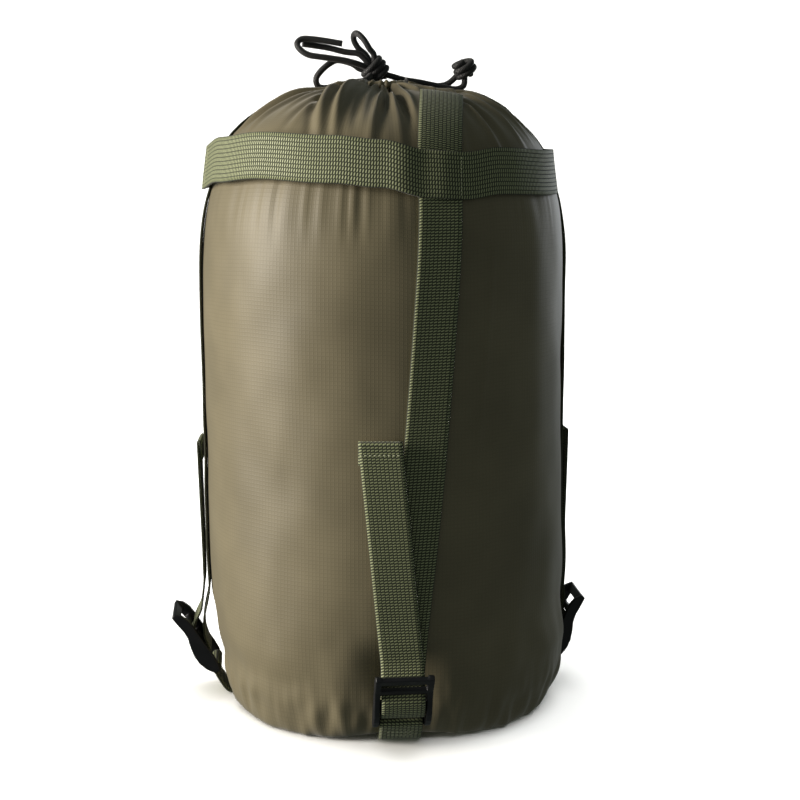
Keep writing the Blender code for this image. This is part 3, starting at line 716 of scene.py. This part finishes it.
def pleats(angle, r):
    """How far the gathered dome stands out at an angle and a radius, in metres."""
    out = 0
    gather = log(SHOULDER_R / max(r, 5 * MM))
    for at_hoop, turn, starts, height in FRONT_PLEATS + BACK_PLEATS:
        away = ((angle * 180 / pi - (at_hoop - turn * gather)) + 180) % 360 - 180
        width = 1.3 * MM + 0.018 * r
        across = radians(away) * r / width
        if abs(across) < 4:
            section = exp(-across * across) - 0.5 * exp(-((across - 1.8) ** 2))
            out += 1.35 * height * grown(starts, r) * section
    # The two widest folds, left of the front strap.
    wide = smooth_step((100 * MM - r) / (30 * MM)) * smooth_step((r - 16 * MM) / (16 * MM))
    out += wide * (3.2 * near(angle, -29, 10) - 3.0 * near(angle, -6, 8))
    tight = smooth_step((46 * MM - r) / (26 * MM))
    out += 1.3 * tight * sin(angle * 31 + 2 * sin(angle * 3))
    out += 1.6 * round_noise(angle, 3.4, r * 22) * smooth_step((r - 14 * MM) / (20 * MM))
    return out * MM


def strap_middle(side, r):
    """How far across a side's dome strap has its middle, at a distance from the sack's axis."""
    end_x, end_r = DOME_STRAP_ENDS[side]
    start_x = SHOULDER_R * sin(radians(STRAP_SLANT[side]))
    return start_x + (end_x - start_x) * (SHOULDER_R - r) / (SHOULDER_R - end_r)


def under_strap(angle, r):
    """1 where a strap presses the dome's pleats flat, 0 away from the straps."""
    pressed = 0
    for side, degrees_round in SIDES.items():
        away = angle - radians(degrees_round)
        if cos(away) > 0 and r > DOME_STRAP_ENDS[side][1] - 6 * MM:
            across = abs(r * sin(away) - strap_middle(side, r)) / (WEB_WIDTH / 2)
            pressed = max(pressed, smooth_step((1.5 - across) / 0.5))
    return pressed


def dome_spot(angle, share, out):
    """A place on the dome, from its share of the way up and how far it stands out."""
    turn = share * pi / 2
    r, rise = SHOULDER_R * cos(turn) ** (2 / DOME_POWER), DOME_HEIGHT * sin(turn) ** (2 / DOME_POWER)
    normal = Vector(((r / SHOULDER_R) ** (DOME_POWER - 1) / SHOULDER_R,
                     (rise / DOME_HEIGHT) ** (DOME_POWER - 1) / DOME_HEIGHT)).normalized()
    lift = shoulder_rise(angle) * exp(-((rise / (30 * MM)) ** 2))
    out -= 1.0 * MM * sin(min(rise / (56 * MM), 1) * pi)
    out -= 1.9 * MM * smooth_step((62 * MM - r) / (32 * MM))
    return place_at(angle, r + normal.x * out, SHOULDER_Z + rise + normal.y * out + lift)


def dome_place(u, v):
    """The dome, from under the hoop (v 0) to the mouth (v 1)."""
    angle, share = (u * 2 - 1) * pi, 0.004 + 0.9 * v ** 0.9
    r = SHOULDER_R * cos(share * pi / 2) ** (2 / DOME_POWER)
    out = pleats(angle, r) * smooth_step(v / 0.05) * (1 - under_strap(angle, r))
    spot = dome_spot(angle, share, out)
    if v > 0.96:
        inward = max(r - (v - 0.96) * 40 * MM, MOUTH_R + 1.6 * MM)
        spot = place_at(angle, inward, spot.z)
    return spot


# The hoop's middle radius at its lower edge, and how much smaller it is at its upper edge, in mm
HOOP_LOW_R, HOOP_TAPER = 108.7, 3.4


def hoop_r(angle, share):
    """The hoop's middle radius, share of its width up from its lower edge."""
    proud = along_points(HOOP_PROUD, from_front(angle)) * MM
    return (HOOP_LOW_R - HOOP_TAPER * share) * MM + proud + 0.5 * MM * round_noise(angle, 4, share)


def hoop_place(u, v):
    angle = (u * 2 - 1) * pi
    return place_at(angle, hoop_r(angle, v), HOOP_BOTTOM_Z + HOOP_HEIGHT * v + shoulder_rise(angle))


def hem_place(u, v):
    """The ruffled tunnel at the mouth, that the drawcord runs in."""
    angle = (u * 2 - 1) * pi
    turn = radians(-40 + 260 * v)
    ruffle = 0.9 * sin(angle * 17 + sin(angle * 4)) + 0.5 * sin(angle * 29)
    r = MOUTH_R + (2.6 + 0.45 * ruffle) * MM * cos(turn)
    return place_at(angle, r, MOUTH_Z + (2.5 + 0.55 * ruffle) * MM * sin(turn))


# Flat lengths of the cloth, in metres: side from seam to hoop, dome from hoop to mouth, hem
SIDE_LENGTH = 0.337
DOME_LENGTH = 0.125
HEM_LENGTH = 0.02


def sewn_round(name, flat, cells, lay, body):
    return woven(name, flat, cells, lay, NYLON, body, closed=True)


def make_sack():
    around = 2 * pi * SACK_R
    side = sewn_round("side_fabric", (around, SIDE_LENGTH), (360, 108), side_place, "base")
    thicken(side, FABRIC, -1)
    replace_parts(side, "side_panel_lower", "side_panel_upper")
    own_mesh(side)
    dome = sewn_round("dome_fabric", (around, DOME_LENGTH), (420, 48), dome_place, "top")
    thicken(dome, FABRIC, -1)
    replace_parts(dome, "dome_panel")
    hem = sewn_round("mouth_ruffle", (around * 0.4, HEM_LENGTH), (180, 12), hem_place, "top")
    thicken(hem, FABRIC)
    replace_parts(hem, "mouth_hem")
    hoop = woven("shoulder_hoop_webbing", (WEB_WIDTH, around), (10, 260), lambda u, v: hoop_place(v, u),
                 WEBBING, "top", closed=True)
    thicken(hoop, WEB)
    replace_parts(hoop, "shoulder_hoop")


make_sack()


# ---------------------------------------------------------------- straps

def on_buckle(side, s, n):
    """(r, z) of a place on a side's leaning buckle, from millimetres along it and out from it."""
    r, z, lean = BARS[side]
    r += (s * sin(radians(lean)) + n * cos(radians(lean))) * MM
    z += (s * cos(radians(lean)) - n * sin(radians(lean))) * MM
    return r, z


def strap(name, path, side, body=None, rows=4 * MM):
    """Webbing along (r, z, slant) places on a side; slant turns a place further about Z, in degrees."""
    known = [Vector((r, z, radians(slant) * SACK_R)) for r, z, slant in path]
    route = spaced(smooth_route(known, rows), rows)

    def lay(u, v):
        where = route[round(v * (len(route) - 1))]
        turn = Matrix.Rotation(radians(SIDES[side]) + where.z / SACK_R, 4, "Z")
        return turn @ Vector(((u - 0.5) * WEB_WIDTH, -where.x, where.y))

    flat = (WEB_WIDTH, length_of(route))
    piece = woven(name, flat, (10, len(route) - 1), lay, WEBBING, body)
    thicken(piece, WEB)
    return piece


# (s, n) of the strap's end through the buckle, and (r, z) of where the tail leaves it
WRAP_ROUTE = [(27.5, -7.2), (22, -4.4), (16, -2.9), (12, -2.2), (9.6, -0.6), (9.3, 2.2), (10.4, 5.0),
              (13.8, 6.2), (18.5, 6.4), (23.4, 5.6), (25.8, 3.2), (27.2, 0.2), (29.7, -1.6), (32.5, -4.6)]
TAIL_ROOT_R = {"front": 116.2 * MM, "right": 115.0 * MM, "back": 116.2 * MM, "left": 116.2 * MM}
TAIL_ROOT_OVER_BAR = 38.3 * MM
FOOT_TOP_Z = 72 * MM
STRAP_TOP_Z = 321.5 * MM
# Heights at which the standing straps are set out, above the foot and in it
UPPER_ROWS, FOOT_ROWS, TAIL_ROWS = 24, 6, 12
FRONT_BEND = 1.2


def standing_r(side, z, slant):
    """The standing strap leaves its buckle in the groove and lies on the wall higher up."""
    angle = radians(SIDES[side] + slant)
    on_wall = wall_r(z) + dents(angle, z) + 1.0 * MM
    if z >= FOOT_TOP_Z:
        return on_wall
    foot_r, foot_z = on_buckle(side, *WRAP_ROUTE[0])
    share = smooth_step((z - foot_z) / (FOOT_TOP_Z - foot_z))
    return max(foot_r + (standing_r(side, FOOT_TOP_Z, slant) - foot_r) * share, on_wall)


def tail_r(side, z):
    root_z = BARS[side][1] + TAIL_ROOT_OVER_BAR
    clear = smooth_step((z - root_z) / (74 * MM - root_z))
    flare = 2.1 * MM * smooth_step((z - 72 * MM) / (110 * MM))
    on_strap = standing_r(side, z, 0) + 1.5 * MM
    return max(TAIL_ROOT_R[side] + (114.0 * MM - TAIL_ROOT_R[side]) * clear + flare, on_strap)


def make_standing_strap(side):
    foot_z = on_buckle(side, *WRAP_ROUTE[0])[1]
    bend = FRONT_BEND if side == "front" else 0

    def place(z):
        share = (z - foot_z) / (STRAP_TOP_Z - foot_z)
        slant = STRAP_SLANT[side] * share + bend * sin(share * pi)
        return standing_r(side, z, slant), z, slant

    def between(low, high, rows):
        return [place(low + (high - low) * step / rows) for step in range(rows + 1)]

    upper = strap(side + "_strap_upper", between(FOOT_TOP_Z, STRAP_TOP_Z, UPPER_ROWS), side, "base")
    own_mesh(upper)
    lower = strap(side + "_strap_foot", between(foot_z, FOOT_TOP_Z, FOOT_ROWS), side)
    outward = place_at(radians(SIDES[side]), 0.113, 0)
    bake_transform(lower)
    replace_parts(upper, side + "_standing_strap")
    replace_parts(lower, side + "_standing_strap")


# Where the stitches of a row start across the webbing, in mm: in a tail's hem and in a tab
HEM_STITCHES = (-11.6, -9, -6.4, -3.8, -1.2, 1.4, 4.0, 6.6, 9.2)
TAB_STITCHES = (-8, -5.4, -2.8, -0.2, 2.4, 5.0)


def stitch_row(turn, r, z, starts, long, outward):
    """Stitches across a strap at (r, z), each as (start, end, outward)."""
    def at(x):
        return turn @ Vector((x * MM, -r, z))

    return [(at(x), at(x + long), outward) for x in starts]


def make_free_end(side):
    """From the standing strap through the buckle, and up as the tail with its hem."""
    root_r, root_z = TAIL_ROOT_R[side], BARS[side][1] + TAIL_ROOT_OVER_BAR
    slant, top = TAIL_SLANT[side], TAIL_TOP_Z[side]
    path = [(*on_buckle(side, s, n), 0) for s, n in WRAP_ROUTE]
    for step in range(TAIL_ROWS + 1):
        z = root_z + (top - root_z) * step / TAIL_ROWS
        path.append((tail_r(side, z), z, slant * step / TAIL_ROWS))
    fold = [(tail_r(side, top) - 0.4 * MM, top + 0.9 * MM), (tail_r(side, top) - 1.2 * MM, top + 0.7 * MM)]
    fold += [(tail_r(side, top - drop * MM) - 1.55 * MM, top - drop * MM) for drop in (1, 4, 8, 12)]
    path += [(r, z, slant) for r, z in fold]
    free_end = strap(side + "_free_end", path, side, rows=1.3 * MM)
    hinge = place_at(radians(SIDES[side]), root_r, 0)
    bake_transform(free_end)
    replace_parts(free_end, side + "_strap_wrap", side + "_tail", side + "_tail_end")

    angle, z = radians(SIDES[side] + slant), top - 6 * MM
    turn = Matrix.Rotation(angle, 4, "Z")
    r = tail_r(side, z) + WEB / 2
    stitches = stitch_row(turn, r, z, HEM_STITCHES, 1.9, turn @ Vector((0, -1, 0)))
    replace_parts(sewn(side + "_tail_hem_stitches", stitches, THREAD, side + "_tail"), side + "_tail")


def make_dome_strap(side):
    """Straight over the dome in plan: its rows stay level at the hoop and are square across it at its end."""
    first, end_r = 0.015, DOME_STRAP_ENDS[side][1]
    last = acos((end_r / SHOULDER_R) ** (DOME_POWER / 2)) / (pi / 2)

    def lay(u, v):
        level_r = SHOULDER_R * cos((first + (last - first) * v) * pi / 2) ** (2 / DOME_POWER)
        middle = strap_middle(side, level_r)
        x = middle + (u - 0.5) * WEB_WIDTH
        level, square = (level_r ** 2 - x ** 2) ** 0.5, (level_r ** 2 - middle ** 2) ** 0.5
        y = level + (square - level) * smooth_step(v)
        share = acos(min(Vector((x, y)).length / SHOULDER_R, 1) ** (DOME_POWER / 2)) / (pi / 2)
        return dome_spot(radians(SIDES[side]) + atan2(x, y), share, 1.0 * MM)

    middle = [lay(0.5, step / 16) for step in range(17)]
    flat = (WEB_WIDTH, length_of(middle))
    piece = woven(side + "_dome_webbing", flat, (12, 34), lay, WEBBING, "top")
    thicken(piece, WEB)
    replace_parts(piece, side + "_dome_strap")


def make_hoop_stitches(side):
    """A row of stitches up the hoop, along the right selvedge of the strap under it."""
    stitches = []
    for step in range(11):
        share = 0.08 + 0.84 * step / 11
        sideways = WEB_WIDTH / 2 - 1.2 * MM + share * 1.6 * MM
        angle = radians(SIDES[side] + STRAP_SLANT[side]) + sideways / SACK_R
        ends = []
        for place in (share, share + 0.055):
            z = HOOP_BOTTOM_Z + HOOP_HEIGHT * place + shoulder_rise(angle)
            ends.append(place_at(angle, hoop_r(angle, place) + WEB / 2 + 0.05 * MM, z))
        stitches.append((*ends, place_at(angle, 1, 0)))
    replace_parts(sewn(side + "_hoop_stitches", stitches, THREAD, "top"), side + "_hoop_stitching")


for side_name in SIDES:
    make_standing_strap(side_name)
    make_free_end(side_name)
    make_dome_strap(side_name)
    make_hoop_stitches(side_name)


# ---------------------------------------------------------------- base

BASE_R = 0.0926
SEAM_R = 93.8 * MM


def base_place(u, v):
    """The base disc: u round it, v from its middle out; it lies just off the floor and rises to its seam."""
    angle, r = (u * 2 - 1) * pi, v * BASE_R
    z = 4.6 * MM - 2.2 * MM * sin(v * pi) ** 2 * lobe(angle) + 0.5 * MM * round_noise(angle, 3, v * 6)
    return place_at(angle, max(r, 0.01 * MM), z)


def make_base():
    panel = sewn_round("base_fabric", (2 * pi * BASE_R, BASE_R), (96, 24), base_place, "base")
    weave = panel.data.uv_layers["weave"]
    for loop in panel.data.loops:
        weave.data[loop.index].uv = panel.data.vertices[loop.vertex_index].co.xy
    thicken(panel, FABRIC)
    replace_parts(panel, "base_panel")

    def binding_place(u, v):
        angle, turn = (v * 2 - 1) * pi, u * 2 * pi
        thick = 1.45 + 0.15 * sin(angle * 41)
        return place_at(angle, SEAM_R + thick * MM * cos(turn) * 0.9, 4.5 * MM + thick * MM * sin(turn))

    binding = woven("base_seam_tape", (9.4 * MM, 2 * pi * SEAM_R), (10, 300), binding_place, TAPE, "base",
                    closed=True)
    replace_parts(binding, "base_seam_binding")


# (r, z) of a tab from its loop to under the base
TAB_END = [(101.5 * MM, 3.8 * MM), (95.5 * MM, 1.6 * MM), (89 * MM, 0.85 * MM)]
LOOP_R = 2.65 * MM


def bar_loop(side):
    """A base strap's end round a bottom bar and down to the seam, as (r, z)."""
    bar_r, bar_z = BARS[side][:2]
    turns = [radians(degrees_round) for degrees_round in range(238, -51, -16)]
    loop = [(bar_r + LOOP_R * cos(turn), bar_z + LOOP_R * sin(turn)) for turn in turns]
    return loop + TAB_END + [(60 * MM, 0.8 * MM), (24 * MM, 0.8 * MM)]


def make_base_straps():
    """Two straps that cross under the base; each end loops round a buckle's bottom bar."""
    for start, end, middle in (("front", "back", []), ("right", "left", [(14.5 * MM, 2.2 * MM)])):
        path = [(r, z, 0) for r, z in bar_loop(start) + middle]
        path += [(-r, z, 0) for r, z in reversed(bar_loop(end) + middle)]
        name = "front_back" if start == "front" else "left_right"
        piece = strap("base_webbing_" + name, path, start, "base", rows=1.6 * MM)
        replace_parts(piece, "base_strap_" + name)
    for side in SIDES:
        make_tab_stitches(side)


def make_tab_stitches(side):
    """Two rows of stitches that close the loop, on the outside of the tab."""
    (top_r, top_z), (low_r, low_z) = bar_loop(side)[18], TAB_END[0]
    down = atan2(top_z - low_z, top_r - low_r)
    turn = Matrix.Rotation(radians(SIDES[side]), 4, "Z")
    outward = turn @ Vector((0, -sin(down), -cos(down)))
    stitches = []
    for share in (0.28, 0.55):
        r = low_r + (top_r - low_r) * share + (WEB / 2 + 0.1 * MM) * sin(down)
        z = low_z + (top_z - low_z) * share - (WEB / 2 + 0.1 * MM) * cos(down)
        stitches += stitch_row(turn, r, z, TAB_STITCHES, 2, outward)
    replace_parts(sewn(side + "_tab_stitches", stitches, THREAD, "base"), side + "_tab_stitching")


make_base()
make_base_straps()


# ---------------------------------------------------------------- buckles

# A rail's outline as (s, n) in mm, and where the two rails stand across the buckle
RAIL_OUTER_EDGE = [(-2.2, 1.8), (3, 5.4), (8.5, 7.2), (14, 7.6), (20, 6.6), (26, 5.0), (31, 4.8), (37, 5.8),
                   (43, 6.6)]
RAIL_INNER_EDGE = [(44.2, 4.2), (41, 0.6), (36, -1.4), (30, -2.0), (22, -2.2), (15, -2.6), (8, -3.0),
                   (2, -2.8), (-1.7, -1.8)]
RAILS = ((13.3 * MM, 16.6 * MM), (-16.6 * MM, -13.3 * MM))
BAR_SPAN = 28 * MM
BAR_R = 1.75 * MM
# Flat bars: middle (s, n), size along s and n, tilt
FLAT_BARS = [((18.2, 2.4), (7.0, 2.6), 0), ((30.4, 2.7), (4.0, 3.0), 8), ((40.8, 4.6), (5.4, 2.8), 14)]
MOULD_CELL = 0.42 * MM


def add_rail(bm, left, right):
    outline = [bm.verts.new((left, -n * MM, s * MM)) for s, n in RAIL_OUTER_EDGE + RAIL_INNER_EDGE]
    made = bmesh.ops.extrude_face_region(bm, geom=[bm.faces.new(outline)])["geom"]
    moved = [item for item in made if isinstance(item, bmesh.types.BMVert)]
    bmesh.ops.translate(bm, verts=moved, vec=(right - left, 0, 0))


def make_buckles():
    """Ladder-lock buckles: rails and bars run together as one moulding, with a mould's small fillets."""
    bm = bmesh.new()
    for left, right in RAILS:
        add_rail(bm, left, right)
    bar = bmesh.ops.create_cone(bm, cap_ends=True, segments=20, radius1=BAR_R, radius2=BAR_R, depth=BAR_SPAN)
    bmesh.ops.rotate(bm, verts=bar["verts"], cent=(0, 0, 0), matrix=Matrix.Rotation(pi / 2, 3, "Y"))
    for (s, n), (tall, thick), tilt in FLAT_BARS:
        flat = bmesh.ops.create_cube(bm, size=1)["verts"]
        bmesh.ops.scale(bm, verts=flat, vec=(BAR_SPAN, thick * MM, tall * MM))
        turn = Matrix.Translation((0, -n * MM, s * MM)) @ Matrix.Rotation(radians(tilt), 4, "X")
        bmesh.ops.transform(bm, verts=flat, matrix=turn)
    bmesh.ops.recalc_face_normals(bm, faces=bm.faces)
    helper = object_from(bm, "buckle_moulding", ACETAL, None)
    cast = helper.modifiers.new("cast", "REMESH")
    cast.mode, cast.voxel_size = "VOXEL", MOULD_CELL
    fillet = helper.modifiers.new("fillet", "SMOOTH")
    fillet.factor, fillet.iterations = 0.5, 5
    moulded = bpy.data.meshes.new_from_object(helper.evaluated_get(bpy.context.evaluated_depsgraph_get()))
    bpy.data.objects.remove(helper)
    moulded.shade_smooth()
    for side, degrees_round in SIDES.items():
        mesh = moulded.copy()
        turn = Matrix.Rotation(radians(degrees_round), 4, "Z")
        bar_r, bar_z, lean = BARS[side]
        mesh.transform(turn @ Matrix.Translation((0, -bar_r, bar_z)) @ Matrix.Rotation(radians(lean), 4, "X"))
        buckle = bpy.data.objects.new(side + "_ladder_lock", mesh)
        bpy.context.scene.collection.objects.link(buckle)
        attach(buckle, side + "_buckle")
        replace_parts(buckle, side + "_buckle")


make_buckles()


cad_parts["drawcord_ring"].data.materials.clear()
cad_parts["drawcord_ring"].data.materials.append(CORD)
